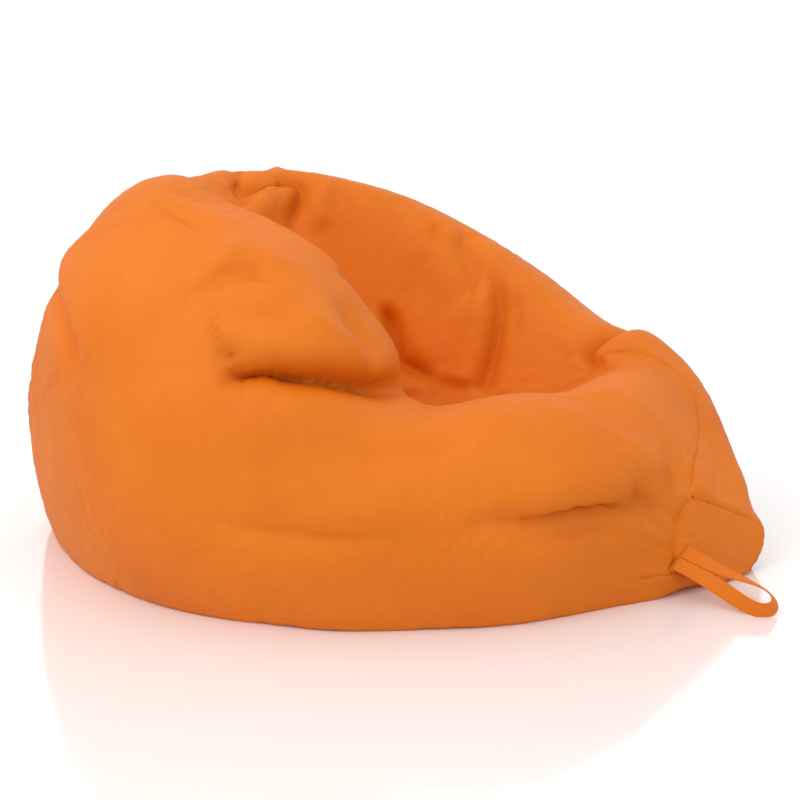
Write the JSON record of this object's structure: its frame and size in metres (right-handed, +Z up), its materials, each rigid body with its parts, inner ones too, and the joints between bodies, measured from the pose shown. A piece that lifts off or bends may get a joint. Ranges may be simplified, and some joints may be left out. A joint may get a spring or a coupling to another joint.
{
  "type": "bean bag chair",
  "caption": "Pear-shaped bean bag chair lying on its side, with a sat-in hollow between two soft arms, a rising backrest, a carrying loop at the small end and a zip in the big end.",
  "frame": {"origin": "on the floor, under the middle of the whole chair", "axes": "+Z up; -Y is the way a sitter faces, towards the foot end and its carrying loop; +Y is the backrest and the big end with its zip; +X is the sitter's left arm"},
  "size_m": [1.0501, 1.3249, 0.6439],
  "materials": {
    "cover": "smooth orange coated polyester, soft sheen",
    "webbing": "strap folded from the cover's own orange fabric, stitched edges",
    "liner": "thin white non-woven fabric",
    "beads": "expanded polystyrene beads",
    "zip_tape": "woven orange zip tape",
    "zip_coil": "moulded orange nylon coil",
    "zip_metal": "satin nickel-coloured metal"
  },
  "bodies": {
    "bag": {"bead_fill": "beads", "inner_liner": "liner", "gore_left": "cover", "gore_right_upper": "cover", "gore_right_lower": "cover", "gore_under_left": "cover", "gore_under_middle": "cover", "gore_under_right": "cover", "end_cap_panel": "cover", "base_panel_left": "cover", "base_panel_right": "cover", "handle_tab": "webbing", "zip_tape_left": "zip_tape", "zip_tape_right": "zip_tape", "zip_coil_left": "zip_coil", "zip_coil_right": "zip_coil", "zip_bottom_stop": "zip_metal", "zip_top_stop": "zip_metal"},
    "slider": {"zip_slider": "zip_metal"},
    "pull": {"zip_pull": "zip_metal"},
    "handle": {"handle_strap": "webbing"}
  },
  "joints": [
    {"name": "zip_slide", "type": "slide", "parent": "bag", "child": "slider", "axis": [0, -0.2079, 0.9781], "range_m": [0, 0.35]},
    {"name": "zip_pull_swing", "type": "hinge", "parent": "slider", "child": "pull", "pos_m": [0.02, 0.65236, 0.08222], "axis": [1, 0, 0], "range_deg": [0, 150]},
    {"name": "handle_swing", "type": "hinge", "parent": "bag", "child": "handle", "pos_m": [-0.02355, -0.49669, 0.06652], "axis": [-0.8284, 0.2036, -0.5219], "range_deg": [0, 80]}
  ]
}
